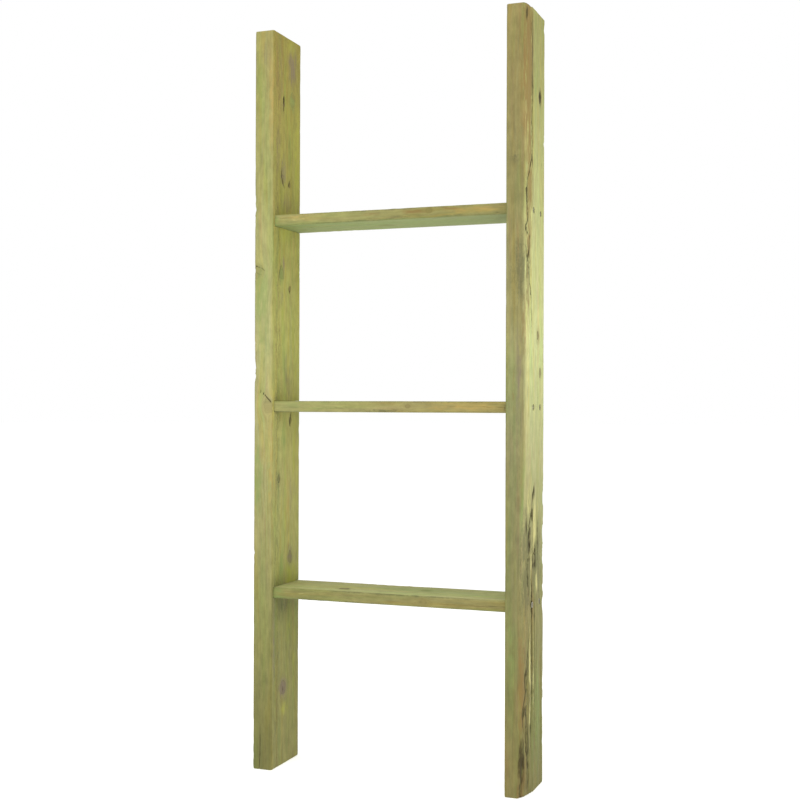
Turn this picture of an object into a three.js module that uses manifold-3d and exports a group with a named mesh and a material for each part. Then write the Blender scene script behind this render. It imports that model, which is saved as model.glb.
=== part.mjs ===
// A three-rung timber ladder frame, standing upright. Two sawn rails carry three flat boards.
// Each board's ends sit in housings cut into the rails' inner faces, and two countersunk
// screws through the rail hold each end. Millimetres, +Z up, +X to the right, front towards -Y.
// The origin is on the ground, midway between the rails and midway from front to back.
import * as THREE from "three";
import { mergeVertices } from "three/addons/utils/BufferGeometryUtils.js";
import Module from "manifold-3d";

// Frame
const HEIGHT = 1200;
const CLEAR_WIDTH = 390; // between the rails' inner faces
const RAIL_WIDTH = 34; // seen from the front
const RAIL_DEPTH = 102; // front to back
const FRONT = -RAIL_DEPTH / 2;
const BACK = RAIL_DEPTH / 2;
const RAIL_EASE = 2; // radius of the rails' long edges

// Rungs: boards laid flat, flush with the rails at the back
const RUNG_THICKNESS = 18;
const RUNG_SETBACK = 5; // of a rung's front edge behind the rails' front faces
const RUNG_DEPTH = RAIL_DEPTH - RUNG_SETBACK;
const RUNG_EASE = 1.5;
const RUNG_MIDDLE_Y = (FRONT + RUNG_SETBACK + BACK) / 2;
const LOWEST_RUNG = 287; // height of the bottom rung's middle plane
const RUNG_PITCH = 302;
const RUNG_NAMES = ["bottom", "middle", "top"];
const rungHeight = (level) => LOWEST_RUNG + level * RUNG_PITCH;

// Housings: grooves in the inner faces, stopped short of the front and open at the back
const HOUSING_DEPTH = 8;
const PLAY = 0.3; // between a rung and its housing
const OVERRUN = 1; // how far a cutter passes the face it cuts

// Countersunk wood screws, measured from the top of the head
const SCREW_LENGTH = 70;
const SCREW_SUNK = 1; // head below the rail's outer face
const HEAD_RADIUS = 4.8;
const HEAD_RIM = 0.5;
const SHANK_RADIUS = 2;
const HEAD_LENGTH = HEAD_RIM + HEAD_RADIUS - SHANK_RADIUS; // the underside slopes at 45 degrees
const SHANK_END = RAIL_WIDTH - HOUSING_DEPTH - SCREW_SUNK;
const THREAD_RADIUS = 2.2; // halfway up the thread
const TIP_LENGTH = 6;
const RECESS_WIDTH = 1.1;
const RECESS_SPAN = 4.6;
const RECESS_DEPTH = 2.4;
const SCREW_PLAY = 0.43; // radial, so that the sloping underside of a head keeps 0.3
const PILOT_DEPTH = SCREW_LENGTH - SHANK_END; // of the hole in a rung's end, which the tip just clears
const SCREW_PLACES = { front: -13, rear: 28 }; // from the rails' middle, front to back
const ROUND_SIDES = 16;

// Wane: the tree's own rounded surface, left along the right rail's outer front corner.
// Each station gives its height, and how far it reaches across the front and along the side.
const WANE_STATIONS = [
  { z: -OVERRUN, front: 11, side: 46 },
  { z: 60, front: 10, side: 44 },
  { z: 150, front: 10, side: 40 },
  { z: 223, front: 10, side: 44 },
  { z: 290, front: 9, side: 46 },
  { z: 390, front: 7, side: 48 },
  { z: 460, front: 5, side: 42 },
  { z: 520, front: 3, side: 24 },
  { z: 600, front: 2.5, side: 11 },
  { z: 700, front: 2.5, side: 14 },
  { z: 770, front: 4, side: 26 },
  { z: 890, front: 4.5, side: 30 },
  { z: 1010, front: 4, side: 27 },
  { z: 1130, front: 4, side: 25 },
  { z: HEIGHT + OVERRUN, front: 5, side: 26 },
];
const WANE_CROWN = 0.25; // how far it bulges, as a share of the corner's distance from its chord
const WANE_REACH = 4; // of the cutter past the corner

const wasm = await Module();
wasm.setup();

const timber = (colour) => new THREE.MeshStandardMaterial({ color: colour, roughness: 0.85, metalness: 0 });
const RAIL_TIMBER = timber(0xa9a566);
const RUNG_TIMBER = timber(0xb0a864);
const SCREW_STEEL = new THREE.MeshStandardMaterial({ color: 0x9a9c98, roughness: 0.45, metalness: 0.9 });

// A closed three.js geometry as a manifold-3d solid.
function solidOf(geometry) {
  const bare = geometry.clone();
  bare.deleteAttribute("normal");
  bare.deleteAttribute("uv");
  const merged = mergeVertices(bare, 1e-4);
  const vertProperties = merged.attributes.position.array;
  const triVerts = new Uint32Array(merged.index.array);
  return new wasm.Manifold(new wasm.Mesh({ numProp: 3, vertProperties, triVerts }));
}

function geometryOf(solid) {
  const mesh = solid.getMesh();
  const geometry = new THREE.BufferGeometry();
  geometry.setAttribute("position", new THREE.BufferAttribute(mesh.vertProperties, 3));
  geometry.setIndex(new THREE.BufferAttribute(mesh.triVerts, 1));
  geometry.computeVertexNormals();
  return geometry;
}

function meshOf(name, geometry, material) {
  const mesh = new THREE.Mesh(geometry, material);
  mesh.name = name;
  return mesh;
}

// A board of the given section and length along +Z, its long edges eased to a radius.
function board(width, depth, length, ease) {
  const x = width / 2;
  const y = depth / 2;
  const section = new THREE.Shape();
  section.moveTo(-x + ease, -y);
  section.absarc(x - ease, -y + ease, ease, -Math.PI / 2, 0);
  section.absarc(x - ease, y - ease, ease, 0, Math.PI / 2);
  section.absarc(-x + ease, y - ease, ease, Math.PI / 2, Math.PI);
  section.absarc(-x + ease, -y + ease, ease, Math.PI, 1.5 * Math.PI);
  return new THREE.ExtrudeGeometry(section, { depth: length, bevelEnabled: false, curveSegments: 2 });
}

// A profile of [radius, distance] pairs turned about +X, with distance measured along +X.
function turned(profile) {
  const points = profile.map(([radius, distance]) => new THREE.Vector2(radius, distance));
  return new THREE.LatheGeometry(points, ROUND_SIDES).rotateZ(-Math.PI / 2);
}

// The groove that takes one end of a rung, for a rail whose inner face looks along `inward`.
function housingCutter(level, inward) {
  const depth = RUNG_DEPTH + PLAY + OVERRUN;
  const cutter = new THREE.BoxGeometry(HOUSING_DEPTH + OVERRUN, depth, RUNG_THICKNESS + 2 * PLAY);
  const innerFace = (inward * RAIL_WIDTH) / 2;
  const x = innerFace - (inward * (HOUSING_DEPTH - OVERRUN)) / 2;
  return cutter.translate(x, BACK + OVERRUN - depth / 2, rungHeight(level));
}

// The hole and countersink of one screw. The head end looks away from the ladder's middle.
function screwHoleCutter(level, inward, y) {
  const wide = HEAD_RADIUS + SCREW_PLAY;
  const narrow = SHANK_RADIUS + SCREW_PLAY;
  const cutter = turned([
    [0, -OVERRUN],
    [wide, -OVERRUN],
    [wide, SCREW_SUNK + HEAD_RIM],
    [narrow, SCREW_SUNK + HEAD_LENGTH],
    [narrow, RAIL_WIDTH + OVERRUN],
    [0, RAIL_WIDTH + OVERRUN],
  ]);
  if (inward < 0) cutter.rotateZ(Math.PI);
  return cutter.translate((-inward * RAIL_WIDTH) / 2, y, rungHeight(level));
}

// The outline of what the wane takes off at one station: outside the corner, then along the crown.
function waneSection({ z, front, side }) {
  const corner = { x: RAIL_WIDTH / 2, y: FRONT };
  const chord = Math.hypot(front, side);
  const crown = (WANE_CROWN * front * side) / chord;
  const outward = { x: side / chord, y: -front / chord };
  const along = { x: (WANE_REACH * front) / chord, y: (WANE_REACH * side) / chord };
  return [
    new THREE.Vector3(corner.x + WANE_REACH, corner.y - WANE_REACH, z),
    new THREE.Vector3(corner.x + along.x, corner.y + side + along.y, z),
    new THREE.Vector3(corner.x, corner.y + side, z),
    new THREE.Vector3(corner.x - front / 2 + crown * outward.x, corner.y + side / 2 + crown * outward.y, z),
    new THREE.Vector3(corner.x - front, corner.y, z),
    new THREE.Vector3(corner.x - front - along.x, corner.y - along.y, z),
  ];
}

// A long piece that joins the stations' outlines. Its ends are fans about the corner.
function waneCutter() {
  const sections = WANE_STATIONS.map(waneSection);
  const triangles = [];
  const last = sections.at(-1);
  for (let k = 1; k < last.length - 1; k += 1) {
    triangles.push([sections[0][0], sections[0][k + 1], sections[0][k]], [last[0], last[k], last[k + 1]]);
  }
  sections.slice(1).forEach((upper, i) => {
    const lower = sections[i];
    lower.forEach((point, k) => {
      const next = (k + 1) % lower.length;
      triangles.push([point, lower[next], upper[next]], [point, upper[next], upper[k]]);
    });
  });
  return new THREE.BufferGeometry().setFromPoints(triangles.flat());
}

// One rail about its own middle line. `side` is -1 for the left rail and 1 for the right.
function rail(side) {
  const inward = -side;
  let made = solidOf(board(RAIL_WIDTH, RAIL_DEPTH, HEIGHT, RAIL_EASE));
  RUNG_NAMES.forEach((_, level) => {
    made = made.subtract(solidOf(housingCutter(level, inward)));
    for (const y of Object.values(SCREW_PLACES)) {
      made = made.subtract(solidOf(screwHoleCutter(level, inward, y)));
    }
  });
  return side > 0 ? made.subtract(solidOf(waneCutter())) : made;
}

// One rung about its own middle, its length along X, with pilot holes in both ends.
function rung() {
  const length = CLEAR_WIDTH + 2 * (HOUSING_DEPTH - PLAY);
  const blank = board(RUNG_THICKNESS, RUNG_DEPTH, length, RUNG_EASE);
  let made = solidOf(blank.translate(0, 0, -length / 2).rotateY(Math.PI / 2));
  const radius = THREAD_RADIUS + PLAY;
  for (const side of [-1, 1]) {
    for (const y of Object.values(SCREW_PLACES)) {
      const pilot = turned([
        [0, -OVERRUN],
        [radius, -OVERRUN],
        [radius, PILOT_DEPTH],
        [0, PILOT_DEPTH],
      ]);
      if (side > 0) pilot.rotateZ(Math.PI);
      pilot.translate((side * length) / 2, y - RUNG_MIDDLE_Y, 0);
      made = made.subtract(solidOf(pilot));
    }
  }
  return made;
}

// One screw along +X from the top of its head at the origin, with a cross recess.
function screw() {
  const body = turned([
    [0, 0],
    [HEAD_RADIUS, 0],
    [HEAD_RADIUS, HEAD_RIM],
    [SHANK_RADIUS, HEAD_LENGTH],
    [SHANK_RADIUS, SHANK_END],
    [THREAD_RADIUS, SHANK_END + SHANK_RADIUS],
    [THREAD_RADIUS, SCREW_LENGTH - TIP_LENGTH],
    [0, SCREW_LENGTH],
  ]);
  let made = solidOf(body);
  for (const turn of [0, Math.PI / 2]) {
    const slot = new THREE.BoxGeometry(RECESS_DEPTH * 2, RECESS_SPAN, RECESS_WIDTH);
    made = made.subtract(solidOf(slot.rotateX(turn)));
  }
  return made;
}

const ladder = new THREE.Group();

for (const [name, side] of Object.entries({ left: -1, right: 1 })) {
  const railMesh = meshOf(`${name}_rail`, geometryOf(rail(side)), RAIL_TIMBER);
  railMesh.position.x = (side * (CLEAR_WIDTH + RAIL_WIDTH)) / 2;
  ladder.add(railMesh);
}

const rungGeometry = geometryOf(rung());
const screwGeometry = geometryOf(screw());
const headX = CLEAR_WIDTH / 2 + RAIL_WIDTH - SCREW_SUNK;

RUNG_NAMES.forEach((level, index) => {
  const rungMesh = meshOf(`${level}_rung`, rungGeometry, RUNG_TIMBER);
  rungMesh.position.set(0, RUNG_MIDDLE_Y, rungHeight(index));
  ladder.add(rungMesh);

  for (const [sideName, side] of Object.entries({ left: -1, right: 1 })) {
    for (const [place, y] of Object.entries(SCREW_PLACES)) {
      const screwMesh = meshOf(`${level}_${sideName}_${place}_screw`, screwGeometry, SCREW_STEEL);
      screwMesh.position.set(side * headX, y, rungHeight(index));
      screwMesh.rotation.z = side > 0 ? Math.PI : 0;
      ladder.add(screwMesh);
    }
  }
});

export default ladder;
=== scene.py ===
# A three-rung timber ladder frame on a pale floor: two sawn rails of green-treated softwood,
# three flat board rungs let into them, and the countersunk screws that hold the joints.
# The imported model's frame is kept: metres, +Z up, front towards -Y.
import math
from collections import namedtuple

import bmesh
import bpy
import numpy as np
from mathutils import Matrix, Vector


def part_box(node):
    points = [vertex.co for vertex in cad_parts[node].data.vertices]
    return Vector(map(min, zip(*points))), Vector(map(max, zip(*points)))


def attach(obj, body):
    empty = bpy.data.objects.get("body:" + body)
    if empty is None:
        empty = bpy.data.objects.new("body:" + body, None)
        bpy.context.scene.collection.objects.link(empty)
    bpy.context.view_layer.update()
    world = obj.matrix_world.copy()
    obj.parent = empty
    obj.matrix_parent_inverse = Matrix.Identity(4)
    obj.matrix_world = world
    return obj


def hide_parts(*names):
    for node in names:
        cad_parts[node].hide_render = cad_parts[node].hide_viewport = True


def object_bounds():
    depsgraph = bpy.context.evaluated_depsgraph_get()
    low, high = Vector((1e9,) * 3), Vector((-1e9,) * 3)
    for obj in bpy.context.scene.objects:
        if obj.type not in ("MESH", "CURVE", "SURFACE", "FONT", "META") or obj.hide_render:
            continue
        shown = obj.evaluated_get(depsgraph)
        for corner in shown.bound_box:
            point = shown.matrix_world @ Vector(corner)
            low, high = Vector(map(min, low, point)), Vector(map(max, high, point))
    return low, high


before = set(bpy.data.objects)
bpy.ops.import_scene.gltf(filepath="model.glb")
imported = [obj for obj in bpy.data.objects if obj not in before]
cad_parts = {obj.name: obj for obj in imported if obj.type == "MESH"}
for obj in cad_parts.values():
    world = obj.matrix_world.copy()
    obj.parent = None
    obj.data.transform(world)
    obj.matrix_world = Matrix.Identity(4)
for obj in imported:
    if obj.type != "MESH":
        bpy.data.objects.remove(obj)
cad_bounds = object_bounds()

MM = 0.001
LEVELS = ("bottom", "middle", "top")
SIDES = {"left": -1, "right": 1}
PLACES = ("front", "rear")

# Boards. Each one is worked out in millimetres in its own frame of thickness, width and length
# (t, w, l). t and w are measured from the middle of the section, and l from one end.

# The columns are the directions of t, w and l. A rail's thickness runs along X, a rung's runs down.
RAIL_AXES = np.array([[1, 0, 0], [0, 1, 0], [0, 0, 1]], float)
RUNG_AXES = np.array([[0, 0, 1], [0, 1, 0], [-1, 0, 0]], float)

# A face is an axis of the section and the side of it that the face is on.
FACES = {
    "left_rail": {"front": (1, -1), "back": (1, 1), "inner": (0, 1), "outer": (0, -1)},
    "right_rail": {"front": (1, -1), "back": (1, 1), "inner": (0, -1), "outer": (0, 1)},
    "rung": {"front": (1, -1), "back": (1, 1), "top": (0, -1), "under": (0, 1)},
}

# `at` is where a feature sits across its face, and `l` where it sits along the board. A crack's path
# is a run of such pairs. A board's colours are (l, colour) stops for each face, which hold painted light
# and shade as well as the timber's own tone, and its stains are grouped by kind and face.
Knot = namedtuple("Knot", "face at l radius strength")
Crack = namedtuple("Crack", "face path width depth")
Stain = namedtuple("Stain", "at l wide tall strength")
Chip = namedtuple("Chip", "t_side w_side l length depth")  # on the long edge between two faces
Board = namedtuple(
    "Board", "name node faces axes slot seed pith ring_width colours knots cracks stains chips"
)

CROSS_STEP = 1.35  # between mesh lines across a board
EDGE_STEP = 0.5  # the same, round its eased edges
LONG_STEP = 5.0  # along a board, where nothing happens
FINE_STEP = 1.55  # along a board, at a knot or an end
STEP_GROWTH = 0.25  # how fast the step grows away from a fine stretch
SAMPLES_PER_MM = 4  # at which the step is weighed up
END_ZONE = 3  # how far the fine lines go at a board's ends
RAIL_EASE = 2.0  # radius of a rail's long edges
RUNG_EASE = 1.5
END_EASE = 0.4  # radius of a board's ends, over that of its long edges
KNOT_STRETCH = 1.5  # a knot's length along the grain, over its width
KNOT_DEPTH = 6  # how deep a knot goes into the board, in its radii
KNOT_ZONE = 1.6  # how far the fine lines go round a knot, in its radii
KNOT_BEND = 1.25  # how wide the grain bends round a knot, in its radii
FAR_FROM_KNOT = 3.0  # in knot radii
DRAW_REACH = 4.0  # how far a crack draws the mesh lines towards it
DRAW_PULL = 0.75  # how much of the way they come
# The cracks' dark bottoms are painted shade, fuller in deeper cracks.
FULL_SHADE_CRACK_DEPTH = 1.4  # from this depth on, a crack looks fully dark
CRACK_WOBBLE = ((0.9, 13), (0.5, 5))  # how far a crack strays sideways, and over what length
GRAIN_SWAY = ((2.2, 260, 9), (4.0, 330, 10))  # the same for the grain along t and w, with seed offsets
CRACK_RAGGED = (0.45, 4)  # the share of a crack's width that varies, and over what length
STAIN_RAGGED = 0.55  # the share of a stain's strength that varies
STAIN_DEPTH = (4, 2)  # a stain fades out between these depths
EDGE_BAND = (3.2, 0.6)  # timber counts as an edge from the first distance, and fully at the second

# How far each kind of relief cuts into a board. The pairs are coarse and fine.
RIDGE_RELIEF = 0.07
WAVE_RELIEF = 0.14
KNOT_RELIEF = 0.3
KNOT_GROOVE = 0.35
GROOVE_WIDTH = 0.12  # in knot radii
BARK_RELIEF = (0.6, 0.3)
TORN_RELIEF = (0.7, 0.35)
DENT_RELIEF = 0.9
WORN_RELIEF = 0.12
END_RELIEF = 0.3
END_WEAR_ZONE = 7  # from the ends
FACE_BLEND = 1.2  # how far one face's colour runs into the next

# Patterns of noise on a board: the size of one bump along t, w and l in mm, and the seed's offset.
PATTERNS = {
    "ring_wander": ((14, 14, 160), 12),
    "knot_edge": ((5, 5, 7), 13),
    "knot_edge_fine": ((2, 2, 3), 14),
    "ridges": ((1.4, 1.4, 70), 20),
    "waves": ((30, 30, 190), 21),
    "bark": ((2.6, 3.2, 30), 22),
    "bark_fine": ((1.6, 1.8, 9), 23),
    "torn": ((2.4, 2.4, 10), 24),
    "torn_fine": ((1.6, 1.6, 4), 25),
    "blotch": ((3.5, 3.5, 14), 31),
    "blotch_fine": ((1.6, 1.6, 5), 32),
    "dents": ((9, 9, 34), 41),
    "dents_fine": ((6, 6, 11), 42),
    "slivers": ((4, 4, 9), 43),
    "slivers_fine": ((3, 3, 4), 44),
}

# Wane: the tree's own surface on the right rail's outer front corner. Heights, then how far it
# reaches across the front and along the side at each.
WANE_NODE = "right_rail"
WANE_HEIGHTS = (0, 60, 150, 223, 290, 390, 460, 520, 600, 700, 770, 890, 1010, 1130, 1200)
WANE_FRONT = (11, 10, 10, 10, 9, 7, 5, 3, 2.5, 2.5, 4, 4.5, 4, 4, 5)
WANE_SIDE = (46, 44, 40, 44, 46, 48, 42, 24, 11, 14, 26, 30, 27, 25, 26)
WANE_WOBBLE = ((0.14, 38), (0.07, 55))  # the share of each reach that wobbles, and over what length

LEFT_RAIL = Board(
    name="left_rail_timber",
    node="left_rail",
    faces=FACES["left_rail"],
    axes=RAIL_AXES,
    slot="rail_timber",
    seed=11,
    pith=(38, -20),
    ring_width=4.2,
    # Each face is darker towards the foot and lightest about mid-height: partly the timber's own tone,
    # partly painted light and shade.
    colours={
        "front": (
            (50, (122, 120, 70)), (250, (144, 141, 87)), (450, (164, 160, 106)), (690, (178, 176, 120)),
            (900, (164, 163, 104)), (1190, (158, 152, 94)),
        ),
        # The inner face's dip at 275 is painted shade just under the bottom rung.
        "inner": (
            (50, (140, 136, 82)), (225, (142, 141, 84)), (275, (128, 127, 79)), (325, (166, 165, 98)),
            (450, (168, 165, 101)), (690, (178, 176, 102)), (900, (160, 156, 83)), (1190, (150, 140, 70)),
        ),
        "outer": ((50, (150, 146, 90)), (650, (180, 176, 116)), (1190, (168, 164, 102))),
        "back": ((50, (146, 142, 88)), (600, (176, 170, 108)), (1190, (170, 166, 104))),
    },
    knots=(
        Knot("inner", -14, 1087, 3, 0.7), Knot("inner", 19, 1100, 8, 0.25), Knot("inner", -17, 962, 5, 0.3),
        Knot("inner", 8, 957, 3, 0.5), Knot("inner", -17, 808, 6, 0.3), Knot("inner", 10, 784, 3.5, 0.5),
        Knot("inner", 14, 566, 4, 0.4), Knot("inner", 15, 340, 6.5, 0.35), Knot("inner", -9, 126, 8, 0.45),
        Knot("front", -13, 807, 7, 0.2), Knot("front", 8, 590, 8, 0.15), Knot("outer", -28, 470, 8, 0.7),
        Knot("outer", 15, 930, 5, 0.6), Knot("back", 3, 700, 7, 0.6),
    ),
    cracks=(
        Crack("front", ((14, 595), (9, 600), (2, 607), (-7, 614)), 1.6, 1.5),
        Crack("front", ((-3, 803), (-10, 804), (-16, 809)), 1.3, 0.5),
        Crack("front", ((1, 808), (-5, 814), (-17, 818)), 1.4, 0.8),
        Crack("inner", ((-13, 1073), (-13, 1083)), 2.6, 1),
        Crack("inner", ((-15, 1086), (-14, 1101)), 2.8, 1.2),
        Crack("inner", ((-11, 948), (-15, 956), (-19, 966), (-20, 984)), 2.2, 1),
        Crack("inner", ((6, 952), (8, 959), (12, 967)), 2.4, 1),
        Crack("inner", ((-27, 798), (-26, 812), (-20, 822)), 2.4, 0.8),
        Crack("inner", ((9, 776), (13, 782), (14, 790)), 2.4, 0.9),
        Crack("inner", ((13, 554), (14, 566), (18, 580)), 2.6, 1.1),
        Crack("inner", ((-32, -5), (-30, 270)), 0.5, 0.8), Crack("inner", ((28, 620), (30, 745)), 0.5, 0.7),
        Crack("outer", ((10, -5), (12, 190)), 1, 2), Crack("outer", ((-20, 850), (-23, 1205)), 0.9, 1.6),
        Crack("back", ((-4, 1010), (-2, 1205)), 0.9, 2), Crack("front", ((-5, -5), (-4, 62)), 0.6, 1.2),
    ),
    stains={
        ("green", "inner"): (
            (18, 1098, 12, 20, 0.8), (10, 1030, 14, 60, 0.3), (2, 872, 24, 30, 0.5), (-20, 806, 8, 16, 0.9),
            (18, 700, 10, 100, 0.45), (-12, 690, 8, 60, 0.5), (-10, 540, 14, 26, 0.6),
            (-30, 470, 5, 140, 0.5), (-18, 330, 7, 24, 0.8), (18, 306, 18, 22, 0.35),
        ),
        ("green", "front"): (
            (-6, 765, 14, 50, 0.9), (0, 700, 14, 50, 0.5), (-10, 470, 10, 60, 0.8), (-8, 1100, 14, 60, 0.4),
        ),
        ("green", "outer"): ((12, 420, 26, 160, 0.6),),
        ("green", "back"): ((-4, 420, 14, 160, 0.5),),
        ("lime", "inner"): (
            (-16, 730, 8, 70, 0.5), (10, 230, 16, 40, 0.4), (14, 1186, 14, 12, 0.9),
            (36, 560, 14, 240, 0.5), (36, 1010, 12, 100, 0.7), (8, 1065, 16, 40, 0.4),
            (-6, 875, 22, 34, 0.6), (38, 700, 8, 160, 0.5), (30, 520, 8, 90, 0.6), (20, 305, 24, 26, 0.9),
            (-4, 92, 14, 12, 0.7), (34, 180, 8, 90, 0.4),
        ),
        ("ochre", "inner"): ((-36, 1090, 18, 160, 0.35), (6, 430, 12, 110, 0.4), (-30, 690, 20, 70, 0.3)),
        ("ochre", "front"): ((13, 1100, 6, 120, 0.5), (13, 480, 6, 100, 0.5)),
        ("bruise", "inner"): (
            (-34, 1010, 8, 50, 0.4), (6, 620, 12, 40, 0.35), (19, 1155, 18, 34, 0.75),
            (-26, 1150, 14, 40, 0.3), (-22, 1100, 8, 60, 0.3), (-14, 975, 10, 30, 0.55),
            (-3, 925, 22, 20, 0.4), (-12, 824, 6, 12, 0.7), (-18, 768, 8, 18, 0.45),
            (-2, 640, 10, 50, 0.35), (16, 440, 6, 40, 0.45), (15, 341, 12, 18, 0.75),
            (-44, 200, 6, 70, 0.5), (-9, 126, 16, 17, 0.85),
        ),
        ("bruise", "front"): ((4, 1160, 12, 30, 0.3),),
        ("bruise", "outer"): ((-10, 900, 18, 80, 0.4),),
        ("bruise", "back"): ((4, 980, 12, 90, 0.4),),
        ("bark", "inner"): ((-30, 1120, 14, 60, 0.3), (-34, 930, 10, 70, 0.3), (-30, 110, 14, 60, 0.3)),
        # The first row darkens and roughens a long strip of the inner face beside its front edge, the
        # rail's whole length.
        # The second row is painted shade across the inner face just under the bottom rung.
        ("mould", "inner"): ((-34, 600, 15, 2000, 0.42), (-10, 262, 36, 14, 0.7)),
        ("mould", "front"): ((-2, 143, 14, 3, 0.4),),
        ("dark", "inner"): (
            (-14, 1094, 4.5, 8, 0.75), (-13, 1078, 4.5, 6, 0.65), (15, 566, 4, 13, 0.45),
            (-20, 572, 34, 12, 0.25), (-21, 350, 2.5, 4, 0.5), (-17, 318, 2.5, 4, 0.4),
            (-10, 122, 4, 9, 0.5), (12, 131, 2.5, 4, 0.5), (-26, 138, 2, 3, 0.4),
        ),
        ("dark", "front"): ((-12, 817, 7, 2.5, 0.5), (6, 604, 10, 4, 0.3)),
    },
    chips=(
        Chip(-1, -1, 680, 12, 5.5), Chip(-1, -1, 640, 18, 5), Chip(-1, -1, 905, 22, 3),
        Chip(-1, -1, 345, 7, 3), Chip(1, -1, 30, 14, 1.4), Chip(1, 1, 820, 20, 1.6),
    ),
)

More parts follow.
